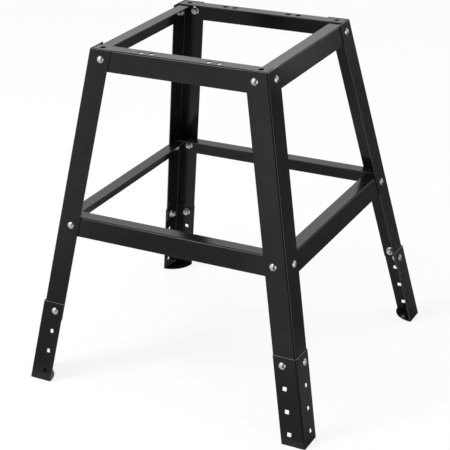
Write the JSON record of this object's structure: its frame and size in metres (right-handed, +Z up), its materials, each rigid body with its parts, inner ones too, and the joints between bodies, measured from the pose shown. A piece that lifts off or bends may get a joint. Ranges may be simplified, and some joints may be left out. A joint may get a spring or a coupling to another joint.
{
  "type": "scroll saw stand",
  "caption": "Bolted sheet-steel stand with splayed angle legs, drilled top rails, lower braces and extending feet, made to carry a benchtop scroll saw.",
  "frame": {"origin": "on the floor under the middle of the stand, with the feet fully out", "axes": "+X to the right along the front rail, +Y from the front to the rear, +Z up"},
  "size_m": [0.6366, 0.6106, 0.7],
  "materials": {
    "powder_coat": "semi-gloss black powder coat on sheet steel",
    "zinc": "bright zinc plate on steel"
  },
  "bodies": {
    "frame": {"leg_front_left": "powder_coat", "leg_front_right": "powder_coat", "leg_rear_left": "powder_coat", "leg_rear_right": "powder_coat", "rail_front": "powder_coat", "rail_right": "powder_coat", "rail_rear": "powder_coat", "rail_left": "powder_coat", "brace_front": "powder_coat", "brace_right": "powder_coat", "brace_rear": "powder_coat", "brace_left": "powder_coat", "rail_bolt_front_left": "zinc", "rail_bolt_front_left_side": "zinc", "rail_bolt_front_right": "zinc", "rail_bolt_front_right_side": "zinc", "rail_bolt_rear_left": "zinc", "rail_bolt_rear_left_side": "zinc", "rail_bolt_rear_right": "zinc", "rail_bolt_rear_right_side": "zinc", "rail_nut_front_left": "zinc", "rail_nut_front_left_side": "zinc", "rail_nut_front_right": "zinc", "rail_nut_front_right_side": "zinc", "rail_nut_rear_left": "zinc", "rail_nut_rear_left_side": "zinc", "rail_nut_rear_right": "zinc", "rail_nut_rear_right_side": "zinc", "brace_bolt_front_left": "zinc", "brace_bolt_front_left_side": "zinc", "brace_bolt_front_right": "zinc", "brace_bolt_front_right_side": "zinc", "brace_bolt_rear_left": "zinc", "brace_bolt_rear_left_side": "zinc", "brace_bolt_rear_right": "zinc", "brace_bolt_rear_right_side": "zinc", "brace_nut_front_left": "zinc", "brace_nut_front_left_side": "zinc", "brace_nut_front_right": "zinc", "brace_nut_front_right_side": "zinc", "brace_nut_rear_left": "zinc", "brace_nut_rear_left_side": "zinc", "brace_nut_rear_right": "zinc", "brace_nut_rear_right_side": "zinc"},
    "front_left_foot": {"foot_front_left": "powder_coat"},
    "front_right_foot": {"foot_front_right": "powder_coat"},
    "rear_left_foot": {"foot_rear_left": "powder_coat"},
    "rear_right_foot": {"foot_rear_right": "powder_coat"}
  },
  "joints": [
    {"name": "front_left_foot_height", "type": "slide", "parent": "frame", "child": "front_left_foot", "axis": [0.1728, 0.1603, 0.9718], "range_m": [0, 0.1383]},
    {"name": "front_right_foot_height", "type": "slide", "parent": "frame", "child": "front_right_foot", "axis": [-0.1728, 0.1603, 0.9718], "range_m": [0, 0.1383]},
    {"name": "rear_left_foot_height", "type": "slide", "parent": "frame", "child": "rear_left_foot", "axis": [0.1728, -0.1603, 0.9718], "range_m": [0, 0.1383]},
    {"name": "rear_right_foot_height", "type": "slide", "parent": "frame", "child": "rear_right_foot", "axis": [-0.1728, -0.1603, 0.9718], "range_m": [0, 0.1383]}
  ]
}
